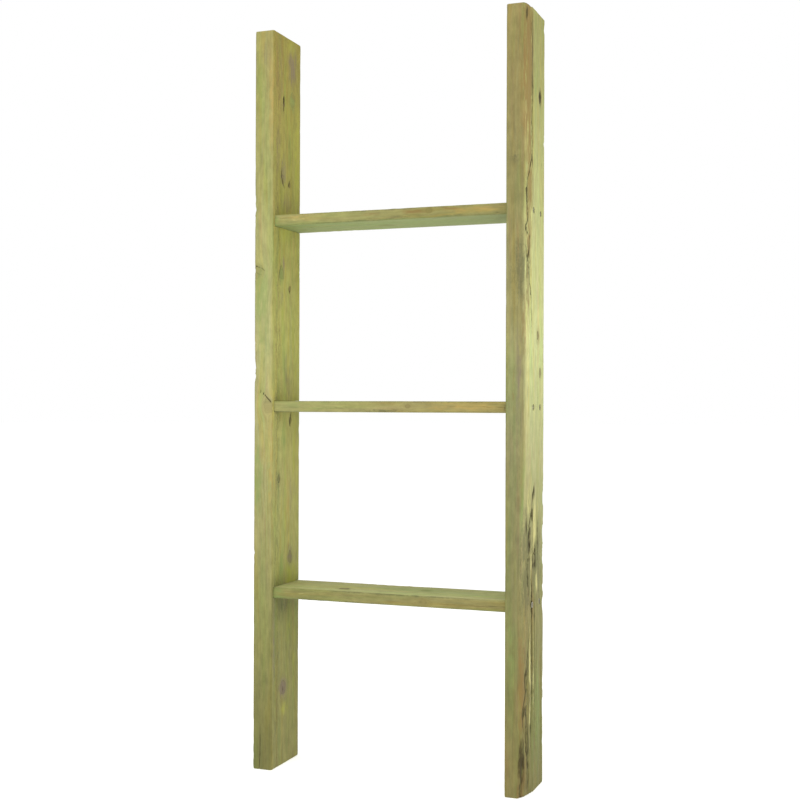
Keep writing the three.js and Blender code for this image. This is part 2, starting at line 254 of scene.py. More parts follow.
RIGHT_RAIL = Board(
    name="right_rail_timber",
    node="right_rail",
    faces=FACES["right_rail"],
    axes=RAIL_AXES,
    slot="rail_timber",
    seed=23,
    pith=(-62, 30),
    ring_width=3.6,
    # Each face is darker towards the foot and lightest about mid-height: partly the timber's own tone,
    # partly painted light and shade.
    colours={
        "front": (
            (50, (130, 122, 74)), (280, (134, 128, 84)), (500, (139, 136, 94)), (690, (151, 147, 101)),
            (900, (138, 132, 85)), (1190, (144, 132, 82)),
        ),
        # The outer face is lighter than the front and brightest about mid-height: painted light from the
        # lamp on the right, over the timber's own tone.
        "outer": (
            (50, (124, 120, 74)), (280, (138, 135, 86)), (500, (172, 172, 122)), (690, (196, 200, 142)),
            (900, (180, 184, 124)), (1190, (156, 154, 96)),
        ),
        "inner": ((50, (146, 142, 86)), (650, (172, 168, 108)), (1190, (160, 154, 94))),
        "back": ((50, (146, 142, 88)), (600, (174, 172, 112)), (1190, (168, 164, 104))),
    },
    knots=(
        Knot("outer", 23, 1071, 6, 1), Knot("outer", 27, 643, 5, 0.5), Knot("outer", -4, 350, 4, 0.5),
        Knot("inner", 12, 700, 8, 0.6), Knot("inner", -16, 420, 6, 0.6), Knot("inner", 24, 1010, 7, 0.6),
        Knot("back", -2, 360, 7, 0.6),
    ),
    cracks=(
        Crack("outer", ((-20, 955), (-22, 1000), (-21, 1049), (-20, 1090)), 2.2, 1.5),
        Crack("outer", ((-30, 846), (-47, 861), (-37, 874), (-45, 918), (-38, 936), (-22, 970)), 3.2, 2),
        Crack("outer", ((-22, 700), (-24, 745), (-31, 785), (-36, 818), (-30, 850)), 2.6, 1.8),
        Crack("outer", ((-44, 780), (-40, 808), (-46, 840)), 2.2, 1.6),
        Crack("outer", ((-28, 392), (-24, 404), (-19, 416), (-11, 438), (-8, 462), (-5, 474)), 3.4, 2.4),
        Crack("outer", ((-24, 300), (-30, 345), (-22, 372), (-28, 400)), 3, 2.2),
        Crack("outer", ((-7, 340), (-9, 362), (-12, 384)), 3.4, 2.4),
        Crack("outer", ((-16, 60), (-12, 150), (-13, 262), (-11, 310), (-16, 345)), 2.6, 2),
        Crack("outer", ((-27, -5), (-25, 36), (-33, 70), (-30, 150), (-24, 262)), 2.8, 2.2),
        Crack("outer", ((-40, 96), (-42, 129), (-35, 160), (-37, 190)), 2.6, 1.9),
        Crack("outer", ((-46, -5), (-43, 60)), 2.6, 2), Crack("outer", ((4, 60), (2, 230)), 1.8, 1.4),
        Crack("outer", ((-6, 80), (-4, 180), (-3, 300)), 1.6, 1.1),
        Crack("outer", ((15, 70), (12, 190), (14, 270)), 1.6, 1.1),
        Crack("outer", ((2, 330), (0, 365), (4, 392)), 2.6, 1.8),
        Crack("outer", ((16, 350), (13, 380), (15, 405)), 2.2, 1.5),
        Crack("outer", ((12, 560), (15, 900)), 0.5, 0.9), Crack("outer", ((34, -5), (35, 230)), 0.8, 1.4),
        Crack("inner", ((6, -5), (10, 170)), 0.8, 1.6), Crack("back", ((4, 900), (2, 1205)), 0.8, 1.6),
    ),
    stains={
        ("green", "outer"): (
            (24, 1050, 6, 30, 0.5), (0, 1100, 22, 50, 0.45), (20, 480, 20, 80, 0.35),
            (14, 120, 26, 100, 0.6),
        ),
        ("green", "front"): ((12, 440, 6, 80, 0.7), (-6, 220, 10, 90, 0.4)),
        ("green", "inner"): ((8, 240, 28, 130, 0.6),),
        ("green", "back"): ((2, 700, 14, 160, 0.5),),
        ("bruise", "front"): ((4, 640, 5, 90, 0.5),),
        ("bruise", "inner"): ((-8, 900, 20, 90, 0.4),),
        ("bark", "outer"): (
            (-38, 1110, 18, 130, 1.3), (-33, 960, 15, 110, 0.9), (-36, 850, 12, 80, 0.85),
            (-38, 770, 10, 60, 0.6), (-45, 165, 9, 70, 1), (-44, 20, 9, 60, 0.8),
        ),
        ("bark", "front"): (
            (12, 720, 5, 60, 0.5), (-4, 610, 3, 60, 0.35), (8, 1060, 9, 130, 0.35), (-8, 880, 6, 60, 0.2),
            (8, 170, 6, 70, 0.45),
        ),
        ("mould", "outer"): (
            (-23, 1100, 5, 110, 0.7), (-22, 980, 4, 60, 0.6), (-40, 800, 10, 60, 0.5),
            (-34, 350, 20, 90, 1), (-10, 350, 20, 60, 0.8), (-20, 180, 26, 90, 0.6), (16, 350, 24, 70, 0.8),
        ),
        ("mould", "front"): (
            (6, 800, 11, 60, 0.7), (-2, 965, 12, 9, 0.6), (0, 790, 14, 40, 0.5), (10, 360, 5, 40, 0.9),
        ),
        ("pale", "outer"): (
            (-2, 405, 7, 50, 0.9), (-16, 345, 4, 50, 0.8), (10, 322, 8, 20, 0.9), (-30, 440, 8, 40, 0.6),
            (-20, 170, 3, 100, 0.8), (-6, 190, 3, 90, 0.8),
        ),
        ("dark", "outer"): (
            (-44, 1184, 4, 12, 0.9), (-26, 1160, 7, 40, 0.5), (-21, 1068, 4, 38, 0.85),
            (-41, 905, 5, 26, 0.8), (-42, 858, 5, 10, 0.8), (-33, 812, 5, 34, 0.6), (-7, 460, 4, 12, 1),
            (-13, 430, 4, 22, 0.9), (-25, 386, 8, 30, 0.8), (-10, 350, 4, 16, 0.7), (-12, 290, 3, 46, 0.9),
            (-34, 188, 4, 8, 0.8), (-40, 129, 5, 10, 0.9), (-45, 45, 7, 46, 1), (-28, 60, 5, 60, 0.8),
            (23, 1072, 8, 11, 1), (2, 360, 5, 26, 0.8), (14, 385, 4, 30, 0.6), (20, 300, 5, 16, 0.6),
            (-36, 410, 5, 20, 0.6), (-2, 262, 3, 50, 0.6), (32, 967, 5, 6, 0.5),
        ),
        ("dark", "front"): ((9, 34, 4, 24, 0.6), (10, 112, 2.5, 5, 0.8)),
    },
    chips=(
        Chip(1, 1, 1180, 9, 3.4), Chip(1, 1, 450, 30, 4.5), Chip(1, 1, 375, 50, 6), Chip(1, 1, 300, 26, 5),
        Chip(1, 1, 1010, 16, 2.6), Chip(1, 1, 120, 60, 3), Chip(-1, -1, 20, 14, 1.8),
        Chip(-1, 1, 560, 30, 1.6),
    ),
)

RUNG_COLOURS = {
    "bottom": {
        "front": ((0, (140, 137, 84)), (200, (146, 139, 88)), (405, (142, 133, 80))),
        # This top is lighter than the front and than the other rungs' tops: painted light from above, over
        # the timber's own tone.
        "top": ((0, (184, 183, 124)), (405, (190, 192, 134))),
        "under": ((0, (140, 148, 96)),),
        "back": ((0, (154, 150, 94)),),
    },
    "middle": {
        "front": ((0, (160, 158, 100)), (200, (162, 154, 100)), (405, (154, 142, 86))),
        "top": ((0, (172, 170, 108)),),
        "under": ((0, (146, 148, 98)),),
        "back": ((0, (160, 154, 96)),),
    },
    "top": {
        "front": ((0, (162, 157, 100)), (200, (150, 146, 92)), (405, (142, 136, 82))),
        "top": ((0, (172, 170, 108)),),
        "under": ((0, (144, 151, 98)), (405, (142, 148, 102))),
        "back": ((0, (158, 152, 94)),),
    },
}
RUNG_KNOTS = {
    "bottom": (Knot("top", 8, 250, 5, 0.3), Knot("front", 1, 265, 4, 0.1), Knot("under", -20, 120, 6, 0.6)),
    "middle": (
        Knot("front", -1, 239, 3, 0.25), Knot("top", 14, 120, 7, 0.35), Knot("under", 10, 300, 7, 0.6),
    ),
    "top": (
        Knot("front", -3, 272, 3.5, 0.15), Knot("under", 6, 180, 8, 0.3), Knot("top", -12, 330, 4, 0.25),
    ),
}
RUNG_CRACKS = {
    "bottom": (
        Crack("top", ((-30, -5), (-27, 150)), 0.7, 0.9),
        Crack("front", ((-3, 30), (-2, 120), (0, 170)), 0.5, 0.5),
        Crack("front", ((2, 240), (1, 410)), 0.5, 0.6),
    ),
    "middle": (
        Crack("front", ((-1, 300), (0, 410)), 0.5, 0.6), Crack("front", ((3, 40), (2, 150)), 0.4, 0.5),
        Crack("under", ((20, 250), (17, 410)), 0.7, 0.9),
    ),
    "top": (
        Crack("under", ((-12, -5), (-10, 210)), 0.7, 0.9), Crack("front", ((3, 190), (4, 290)), 0.5, 0.5),
        Crack("front", ((-3, -5), (-2, 70)), 0.5, 0.6),
    ),
}
RUNG_STAINS = {
    "bottom": {
        ("green", "front"): ((0, 12, 12, 14, 0.8),),
        ("green", "top"): ((0, 240, 40, 80, 0.5),),
        ("bark", "front"): ((3, 225, 5, 40, 0.3), (4, 310, 4, 60, 0.3)),
        ("mould", "front"): ((8, 120, 2, 120, 0.6), (-8, 200, 2, 200, 0.6)),
        ("pale", "front"): ((-2, 60, 3, 40, 0.3),),
        # Painted shadow across the front at the right end, where the rung goes into the rail.
        ("dark", "front"): ((0, 400, 9, 3, 0.6),),
    },
    "middle": {
        ("green", "front"): ((0, 60, 12, 60, 0.4),),
        ("ochre", "front"): ((0, 330, 6, 60, 0.6),),
        ("bark", "front"): ((-5, 205, 4, 34, 0.4),),
        # The third row is painted shadow across the front at the right end, where the rung goes into the
        # rail.
        ("mould", "front"): ((6, 190, 3, 50, 0.7), (-8, 300, 2, 120, 0.5), (0, 398, 10, 6, 0.6)),
        ("pale", "front"): ((0, 100, 4, 60, 0.3),),
        # The second row is painted shadow at the right end, where the rung goes into the rail.
        ("dark", "front"): ((0, 239, 3, 3, 0.5), (0, 404, 9, 3, 0.6)),
    },
    "top": {
        ("green", "front"): ((0, 8, 12, 8, 0.9),),
        ("green", "under"): ((0, 200, 60, 260, 0.7),),
        ("ochre", "front"): ((-2, 60, 5, 50, 0.5), (-1, 345, 5, 45, 0.6)),
        ("bark", "front"): ((-1, 175, 4, 18, 0.5), (-3, 246, 5, 24, 0.6), (-5, 305, 3, 24, 0.6)),
        ("mould", "front"): (
            (5, 215, 3, 24, 0.6), (8, 130, 2.5, 110, 0.5), (7, 330, 2.5, 60, 0.5), (-8, 190, 2, 160, 0.5),
        ),
        ("pale", "front"): ((0, 45, 4, 30, 0.35), (-2, 130, 4, 40, 0.3)),
        # The third row is painted shadow at the right end, where the rung goes into the rail.
        ("dark", "front"): ((-2, 272, 2, 4, 0.35), (6, 385, 4, 8, 0.5), (2, 399, 9, 4, 0.5)),
    },
}
RUNG_CHIPS = {
    "bottom": (Chip(-1, -1, 240, 16, 1.2), Chip(-1, 1, 180, 40, 2.2), Chip(1, -1, 60, 20, 1)),
    "middle": (Chip(1, -1, 184, 34, 2.2), Chip(1, -1, 300, 16, 1.2), Chip(-1, 1, 120, 24, 1.6)),
    "top": (Chip(-1, -1, 210, 20, 1.2), Chip(1, -1, 218, 14, 1.4), Chip(1, 1, 90, 30, 1.8)),
}
RUNG_SEED = {"bottom": 41, "middle": 53, "top": 67}
RUNG_PITH = {"bottom": (46, 14), "middle": (-40, -22), "top": (52, -8)}
RUNG_RING_WIDTH = 3.4


def shade(red, green, blue):
    """A colour from its 0 to 255 screen values."""
    parts = [value / 255 for value in (red, green, blue)]
    return [((v + 0.055) / 1.055) ** 2.4 if v > 0.04045 else v / 12.92 for v in parts] + [1.0]


def hashed(cells, seed):
    """A repeatable number from -1 to 1 for each integer cell."""
    mixed = (cells[..., 0] * 73856093) ^ (cells[..., 1] * 19349663) ^ (cells[..., 2] * 83492791)
    mixed = (mixed ^ (seed * 2654435761)) & 0xFFFFFFFF
    for _ in range(2):
        mixed = ((mixed ^ (mixed >> 15)) * 2246822519) & 0xFFFFFFFF
    return ((mixed ^ (mixed >> 13)) & 0xFFFF) / 32767.5 - 1


def noise(points, cell, seed):
    """Smooth noise from -1 to 1. `cell` is the size of one bump along each axis, in mm."""
    scaled = points / np.asarray(cell, float)
    base = np.floor(scaled)
    part = scaled - base
    part = part * part * (3 - 2 * part)
    base = base.astype(np.int64)
    total = np.zeros(len(points))
    for corner in np.ndindex(2, 2, 2):
        share = np.prod(np.where(corner, part, 1 - part), axis=1)
        total += share * hashed(base + np.array(corner), seed)
    return total


def noise_along(l, cell, seed):
    """The same, along one line."""
    points = np.zeros((len(l), 3))
    points[:, 2] = l
    return noise(points, (1, 1, cell), seed)


def pattern(board, p, name):
    cell, shift = PATTERNS[name]
    return noise(p, cell, board.seed + shift)


def smooth(low, high, value):
    """0 at low and 1 at high, with an easy curve between them."""
    part = np.clip((value - low) / (high - low), 0, 1)
    return part * part * (3 - 2 * part)


def box_mm(node):
    """The lowest and highest corners of a CAD node, in mm."""
    return [np.array(corner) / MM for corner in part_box(node)]


def board_size(board):
    low, high = box_mm(board.node)
    return np.abs(board.axes.T @ (high - low))


def board_origin(board):
    """The middle of the section at the board's near end, in mm in the model's frame."""
    low, high = box_mm(board.node)
    return (low + high) / 2 - board.axes[:, 2] * board_size(board)[2] / 2


def across(board, face, p):
    """Where points lie across a face, and how deep they are below it, in mm."""
    axis, side = board.faces[face]
    return p[:, 1 - axis], board_size(board)[axis] / 2 - side * p[:, axis]


def graded_lines(start, end, step, fine=(), fine_step=FINE_STEP):
    """Positions from start to end, closer together in the fine stretches."""
    samples = np.linspace(start, end, int((end - start) * SAMPLES_PER_MM) + 2)
    spacing = np.full(len(samples), step)
    for low, high in fine:
        near = np.maximum(np.maximum(low - samples, samples - high), 0)
        spacing = np.minimum(spacing, fine_step + near * STEP_GROWTH)
    density = np.concatenate([[0], np.cumsum(np.diff(samples) / spacing[1:])])
    count = int(math.ceil(density[-1]))
    return np.interp(np.linspace(0, density[-1], count + 1), density, samples)


def box_shell(lines):
    """The points and quads of a box's surface, with mesh lines at the given positions."""
    shape = tuple(len(line) for line in lines)
    outside = np.zeros(shape, bool)
    for axis in range(3):
        for end in (0, -1):
            outside[tuple(end if k == axis else slice(None) for k in range(3))] = True
    number = np.full(shape, -1)
    number[outside] = np.arange(outside.sum())
    points = np.stack(np.meshgrid(*lines, indexing="ij"), axis=-1)[outside]
    quads = []
    for axis in range(3):
        for end in (0, -1):
            sheet = number[tuple(end if k == axis else slice(None) for k in range(3))]
            ring = [sheet[:-1, :-1], sheet[1:, :-1], sheet[1:, 1:], sheet[:-1, 1:]]
            # axis 1 leaves its two others in the opposite turn to axes 0 and 2
            if (axis == 1) != (end == 0):
                ring.reverse()
            quads.append(np.stack(ring, axis=-1).reshape(-1, 4))
    return points, np.concatenate(quads)


def eased(points, size, radius):
    """Rounds a box's long edges and, more tightly, its ends."""
    half = size / 2
    middle = np.array([0, 0, half[2]])
    centred = points - middle
    reach = radius * np.array([1, 1, END_EASE])
    core = np.clip(centred, -(half - reach), half - reach)
    away = (centred - core) / reach
    length = np.linalg.norm(away, axis=1, keepdims=True)
    return core + away / np.maximum(length, 1e-9) * reach + middle


def wane_reach(l, seed):
    """How far the wane reaches across the front and along the side, with its natural wobble."""
    reaches = []
    for k, (reach, (amount, length)) in enumerate(zip((WANE_FRONT, WANE_SIDE), WANE_WOBBLE)):
        wobble = 1 + amount * noise_along(l, length, seed + k)
        reaches.append(np.interp(l, WANE_HEIGHTS, reach) * wobble)
    return reaches


def wane_depth(w, l, size, seed):
    """How far the outer face is cut back by the wane, in mm, and how far along it a point is."""
    front, side = wane_reach(l, seed)
    share = np.clip((w + size[1] / 2) / side, 0, 1)
    along = np.sqrt(0.25 + 2 * share) - 0.5
    return front * (1 - along) * (1 - along / 2), share


def cut_wane(p, size, seed):
    """Squeezes the section so that its outer side follows the wane."""
    depth, _ = wane_depth(p[:, 1], p[:, 2], size, seed)
    out = p.copy()
    out[:, 0] = (p[:, 0] + size[0] / 2) * (1 - depth / size[0]) - size[0] / 2
    return out


def wane_mask(board, p):
    """1 on the bark side's own surface, 0 elsewhere."""
    if board.node != WANE_NODE:
        return np.zeros(len(p))
    size = board_size(board)
    depth, share = wane_depth(p[:, 1], p[:, 2], size, board.seed)
    below = size[0] / 2 - depth - p[:, 0]
    return smooth(1.0, 0.9, share) * smooth(3.0, 1.5, below)


def below_face(board, face, p):
    """Where points lie across a face, and how deep they are below it, wane included."""
    place, deep = across(board, face, p)
    if board.node == WANE_NODE and face == "outer":
        deep = deep - wane_depth(p[:, 1], p[:, 2], board_size(board), board.seed)[0]
    return place, deep


def crack_wobble(board, index, l):
    """How far a crack strays sideways from its path."""
    seed = board.seed + 3 * index
    return sum(amount * noise_along(l, length, seed + k) for k, (amount, length) in enumerate(CRACK_WOBBLE))


def crack_distance(crack, place, l):
    """Each point's distance from a crack's path, and how far along the path it lies, 0 to 1."""
    path = np.array(crack.path, float)
    steps = np.diff(path, axis=0)
    lengths = np.hypot(steps[:, 0], steps[:, 1])
    total = lengths.sum()
    nearest = np.full(len(place), 1e3)
    share = np.zeros(len(place))
    start = 0.0
    for corner, step, length in zip(path, steps, lengths):
        part = ((place - corner[0]) * step[0] + (l - corner[1]) * step[1]) / length**2
        part = np.clip(part, 0, 1)
        away = np.hypot(place - corner[0] - part * step[0], l - corner[1] - part * step[1])
        closer = away < nearest
        nearest = np.where(closer, away, nearest)
        share = np.where(closer, (start + part * length) / total, share)
        start += length
    return nearest, share


def near_crack(crack, place, deep, l):
    """The points that a crack could touch, found cheaply."""
    path = np.array(crack.path, float)
    low, high = path.min(axis=0) - DRAW_REACH, path.max(axis=0) + DRAW_REACH
    beside = (place > low[0]) & (place < high[0]) & (l > low[1]) & (l < high[1])
    return beside & (np.abs(deep) < DRAW_REACH)


def draw_to_cracks(board, p):
    """Draws the mesh lines beside each crack towards it, so that its groove comes out sharp."""
    for index, crack in enumerate(board.cracks):
        axis, _ = board.faces[crack.face]
        place, deep = below_face(board, crack.face, p)
        ats, ls = zip(*sorted(crack.path, key=lambda point: point[1]))
        near = near_crack(crack, place, deep, p[:, 2])
        l = p[near, 2]
        off = place[near] - np.interp(l, ls, ats) - crack_wobble(board, index, l)
        pull = DRAW_PULL * np.clip(1 - np.abs(off) / DRAW_REACH, 0, 1)
        p[near, 1 - axis] -= off * pull


def crack_mask(board, p):
    """Painted shade for each crack's bottom, 1 there, falling to 0 at its lips and less in shallow cracks,
    and the crack's depth in mm.
    """
    mask = np.zeros(len(p))
    depth = np.zeros(len(p))
    for index, crack in enumerate(board.cracks):
        place, deep = below_face(board, crack.face, p)
        near = near_crack(crack, place, deep, p[:, 2])
        l = p[near, 2]
        away, share = crack_distance(crack, place[near] - crack_wobble(board, index, l), l)
        varies, length = CRACK_RAGGED
        ragged = 1 + varies * noise_along(l, length, board.seed + 3 * index + 2)
        width = crack.width * ragged * np.sqrt(np.clip(4 * share * (1 - share), 0.02, 1))
        here = np.clip(1 - away / width, 0, 1)
        mask[near] = np.maximum(mask[near], here * min(1, crack.depth / FULL_SHADE_CRACK_DEPTH))
        depth[near] = np.maximum(depth[near], here**0.6 * crack.depth * width / crack.width)
    return mask, depth


def knot_distance(board, p):
    """Each point's distance from the nearest knot's middle, over its radius, and its strength."""
    nearest = np.full(len(p), FAR_FROM_KNOT)
    strength = np.zeros(len(p))
    uneven = 1 + 0.16 * pattern(board, p, "knot_edge") + 0.07 * pattern(board, p, "knot_edge_fine")
    for knot in board.knots:
        place, deep = across(board, knot.face, p)
        away = np.hypot(place - knot.at, (p[:, 2] - knot.l) / KNOT_STRETCH)
        through = knot.radius * KNOT_DEPTH
        away = away / knot.radius * uneven + FAR_FROM_KNOT * smooth(through * 0.6, through, deep)
        strength = np.where(away < nearest, knot.strength, strength)
        nearest = np.minimum(nearest, away)
    return nearest, strength


def grain_place(board, p):
    """Where a point would lie in straight timber, before the grain bent round the knots."""
    g = p.copy()
    for knot in board.knots:
        axis, _ = board.faces[knot.face]
        place, deep = across(board, knot.face, p)
        off = place - knot.at
        away = off**2 + ((p[:, 2] - knot.l) / KNOT_STRETCH) ** 2
        reach = (knot.radius * KNOT_BEND) ** 2
        bend = reach / np.maximum(away, reach) * smooth(knot.radius * 7, knot.radius * 3, deep)
        g[:, 1 - axis] -= off * bend * smooth(reach * 30, reach * 4, away)
    for axis, (amount, length, shift) in enumerate(GRAIN_SWAY):
        g[:, axis] += amount * noise_along(p[:, 2], length, board.seed + shift)
    return g


def ring_distance(board, g):
    """Distance from the tree's pith, in mm, which the growth rings follow."""
    away = np.hypot(g[:, 0] - board.pith[0], g[:, 1] - board.pith[1])
    return away + 1.2 * pattern(board, g, "ring_wander")


def stain_mask(board, p, kind):
    """How strongly one kind of stain shows at each point."""
    total = np.zeros(len(p))
    ragged = pattern(board, p, "blotch") + 0.6 * pattern(board, p, "blotch_fine")
    for (stain_kind, face), rows in board.stains.items():
        if stain_kind != kind:
            continue
        place, deep = below_face(board, face, p)
        for stain in (Stain(*row) for row in rows):
            off = ((place - stain.at) / stain.wide) ** 2 + ((p[:, 2] - stain.l) / stain.tall) ** 2
            level = np.exp(-off) * (1 + STAIN_RAGGED * ragged)
            total = np.maximum(total, stain.strength * level * smooth(*STAIN_DEPTH, np.abs(deep)))
    return np.clip(total, 0, 1)


def face_colour(board, p):
    """The timber's mean colour at each point, from the colours of the faces that it is near, with the
    painted light and shade that these carry.
    """
    total = np.zeros((len(p), 3))
    weights = np.zeros((len(p), 1))
    for face, stops in board.colours.items():
        _, deep = below_face(board, face, p)
        weight = np.exp(-np.clip(deep, 0, 20) / FACE_BLEND)[:, None]
        ls = [l for l, _ in stops]
        tints = np.array([shade(*colour)[:3] for _, colour in stops])
        tint = np.stack([np.interp(p[:, 2], ls, tints[:, k]) for k in range(3)], axis=1)
        total += weight * tint
        weights += weight
    return total / weights


def relief(board, p):
    """How far the surface lies below the board's nominal face, in mm."""
    ridges = RIDGE_RELIEF * (1 + pattern(board, grain_place(board, p), "ridges"))
    waves = WAVE_RELIEF * (1 + pattern(board, p, "waves"))
    away, strength = knot_distance(board, p)
    groove = np.exp(-(((away - 1) / GROOVE_WIDTH) ** 2))
    knot = strength * (KNOT_RELIEF * smooth(1.15, 0.85, away) + KNOT_GROOVE * groove)
    _, split = crack_mask(board, p)
    bark = BARK_RELIEF[0] * (1 + pattern(board, p, "bark"))
    bark += BARK_RELIEF[1] * (1 + pattern(board, p, "bark_fine"))
    torn = TORN_RELIEF[0] * smooth(-0.4, 0.8, pattern(board, p, "torn"))
    torn += TORN_RELIEF[1] * smooth(-0.3, 0.8, pattern(board, p, "torn_fine"))
    return ridges + waves + knot + split + wane_mask(board, p) * bark + stain_mask(board, p, "mould") * torn


def edge_distance(p, size):
    """Each point's distance from the nearest long edge, in mm."""
    return np.maximum(size[0] / 2 - np.abs(p[:, 0]), size[1] / 2 - np.abs(p[:, 1]))


def edge_wear(board, p, radius):
    """Dents and lost slivers along the long edges, in mm."""
    size = board_size(board)
    away = edge_distance(p, size)
    dent = pattern(board, p, "dents") + 0.7 * pattern(board, p, "dents_fine")
    ends = smooth(END_WEAR_ZONE, 0, np.minimum(p[:, 2], size[2] - p[:, 2]))
    depth = DENT_RELIEF * smooth(0.35, 1.3, dent) + WORN_RELIEF * (1 + dent) + END_RELIEF * ends
    wear = smooth(radius * 1.6, 0, away) * depth
    ragged = pattern(board, p, "slivers") + 0.5 * pattern(board, p, "slivers_fine")
    for chip in board.chips:
        here = (p[:, 0] * chip.t_side > 0) & (p[:, 1] * chip.w_side > 0)
        along = np.exp(-(((p[:, 2] - chip.l) / chip.length) ** 2))
        wear += here * smooth(3 + chip.depth, 0.5, away) * along * chip.depth * smooth(-0.5, 0.9, ragged)
    return wear


def point_normals(p, quads):
    """Each point's normal, from the quads round it."""
    corners = p[quads]
    flat = np.cross(corners[:, 2] - corners[:, 0], corners[:, 3] - corners[:, 1])
    normals = np.zeros_like(p)
    for k in range(4):
        np.add.at(normals, quads[:, k], flat)
    return normals / np.maximum(np.linalg.norm(normals, axis=1, keepdims=True), 1e-12)


def mesh_from(name, points, quads):
    """A mesh of quads from points in mm."""
    mesh = bpy.data.meshes.new(name)
    mesh.vertices.add(len(points))
    mesh.vertices.foreach_set("co", (points * MM).ravel())
    mesh.loops.add(quads.size)
    mesh.loops.foreach_set("vertex_index", quads.ravel())
    mesh.polygons.add(len(quads))
    mesh.polygons.foreach_set("loop_start", np.arange(0, quads.size, quads.shape[1]))
    mesh.update(calc_edges=True)
    mesh.validate()
    return mesh


def shown(name, data):
    """An object of this mesh, lamp or camera, in the scene."""
    thing = bpy.data.objects.new(name, data)
    bpy.context.scene.collection.objects.link(thing)
    return thing


def board_mesh(board, ease):
    """The board's outside, before its housings and screw holes are cut."""
    size = board_size(board)
    half = size / 2
    fine = [(0, END_ZONE), (size[2] - END_ZONE, size[2])]
    fine += [(k.l - KNOT_ZONE * k.radius, k.l + KNOT_ZONE * k.radius) for k in board.knots]
    lines = []
    for end in half[:2]:
        edges = [(-end, -end + ease), (end - ease, end)]
        lines.append(graded_lines(-end, end, CROSS_STEP, edges, EDGE_STEP))
    lines.append(graded_lines(0, size[2], LONG_STEP, fine))
    points, quads = box_shell(lines)
    p = eased(points, size, ease)
    if board.node == WANE_NODE:
        p = cut_wane(p, size, board.seed)
    draw_to_cracks(board, p)
    normals = point_normals(p, quads)
    depth = relief(board, p) + edge_wear(board, p, ease)
    p = p - normals * depth[:, None]
    world = p @ board.axes.T + board_origin(board)
    return mesh_from(board.name, world, quads)


def own_place(board, mesh):
    """The mesh's points in the board's own frame, in mm."""
    points = np.empty(len(mesh.vertices) * 3)
    mesh.vertices.foreach_get("co", points)
    return (points.reshape(-1, 3) / MM - board_origin(board)) @ board.axes


def keep_attribute(mesh, name, values):
    kind = "FLOAT" if values.ndim == 1 else "FLOAT_VECTOR"
    layer = mesh.attributes.new(name, kind, "POINT")
    layer.data.foreach_set("value" if values.ndim == 1 else "vector", values.ravel())


def mark_timber(board, mesh):
    """Writes what the timber's material reads: grain, rings, face colours with their painted light and
    shade, knots, cracks with their painted shade, wane and stains, some of them painted shade.
    """
    p = own_place(board, mesh)
    g = grain_place(board, p)
    keep_attribute(mesh, "grain", g)
    keep_attribute(mesh, "ring", ring_distance(board, g))
    keep_attribute(mesh, "tint", face_colour(board, p))
    away, strength = knot_distance(board, p)
    keep_attribute(mesh, "knot", away)
    keep_attribute(mesh, "knot_strength", strength)
    keep_attribute(mesh, "crack", crack_mask(board, p)[0])
    keep_attribute(mesh, "wane", wane_mask(board, p))
    keep_attribute(mesh, "edge", smooth(*EDGE_BAND, edge_distance(p, board_size(board))))
    for kind in STAINS:
        keep_attribute(mesh, kind, stain_mask(board, p, kind))


# Joints: housings in the rails, and holes for the screws

PLAY = 0.3  # between a rung and its housing
HOUSING_DEPTH = 8
OVERRUN = 2  # how far a cutter passes the face it cuts
HEAD_RADIUS = 4.8
HEAD_RIM = 0.5
SHANK_RADIUS = 2.0
HEAD_LENGTH = HEAD_RIM + HEAD_RADIUS - SHANK_RADIUS  # the underside slopes at 45 degrees
SCREW_SUNK = 1.0  # head below the rail's outer face
SCREW_PLAY = 0.43  # radial
THREAD_ROOM = 0.4  # more play, round the thread
HOLE_SIDES = 40
BOARD_SHARP = 50  # degrees, from which an edge is shown sharp


def box_cutter(low, high):
    lines = [np.array([a, b]) for a, b in zip(low, high)]
    return mesh_from("cutter", *box_shell(lines))


def ringed_mesh(name, rings, tip=None):
    """A closed mesh through rings of points in mm. It ends flat, or in a tip past the last ring."""
    shell = bmesh.new()
    made = [[shell.verts.new(Vector(point) * MM) for point in ring] for ring in rings]
    sides = range(len(made[0]))
    for near, far in zip(made, made[1:]):
        for k in sides:
            n = (k + 1) % len(near)
            shell.faces.new((near[k], far[k], far[n], near[n]))
    shell.faces.new(made[0])
    if tip is None:
        shell.faces.new(list(reversed(made[-1])))
    else:
        point = shell.verts.new(Vector(tip) * MM)
        for k in sides:
            shell.faces.new((made[-1][k], point, made[-1][(k + 1) % len(made[-1])]))
    bmesh.ops.recalc_face_normals(shell, faces=shell.faces)
    mesh = bpy.data.meshes.new(name)
    shell.to_mesh(mesh)
    shell.free()
    return mesh


def turned_ring(start, inward, distance, radius_at, sides):
    """A ring about X, inward of start, with the radius that radius_at gives for each angle."""
    ring = []
    for k in range(sides):
        angle = 2 * math.pi * k / sides
        radius = radius_at(angle)
        y, z = radius * math.cos(angle), inward * radius * math.sin(angle)
        ring.append((start[0] + inward * distance, start[1] + y, start[2] + z))
    return ring


def turned_cutter(profile, start, inward):
    """A solid turned about X from (radius, distance) pairs, which starts at start and goes inward."""
    rings = [turned_ring(start, inward, d, lambda _, r=r: r, HOLE_SIDES) for r, d in profile]
    return ringed_mesh("cutter", rings)


def screw_places(side):
    """The node name and head position of each screw on one side, in mm."""
    for level in LEVELS:
        for place in PLACES:
            node = f"{level}_{side}_{place}_screw"
            low, high = box_mm(node)
            middle = (low + high) / 2
            head = low[0] if SIDES[side] < 0 else high[0]
            yield node, np.array([head, middle[1], middle[2]])


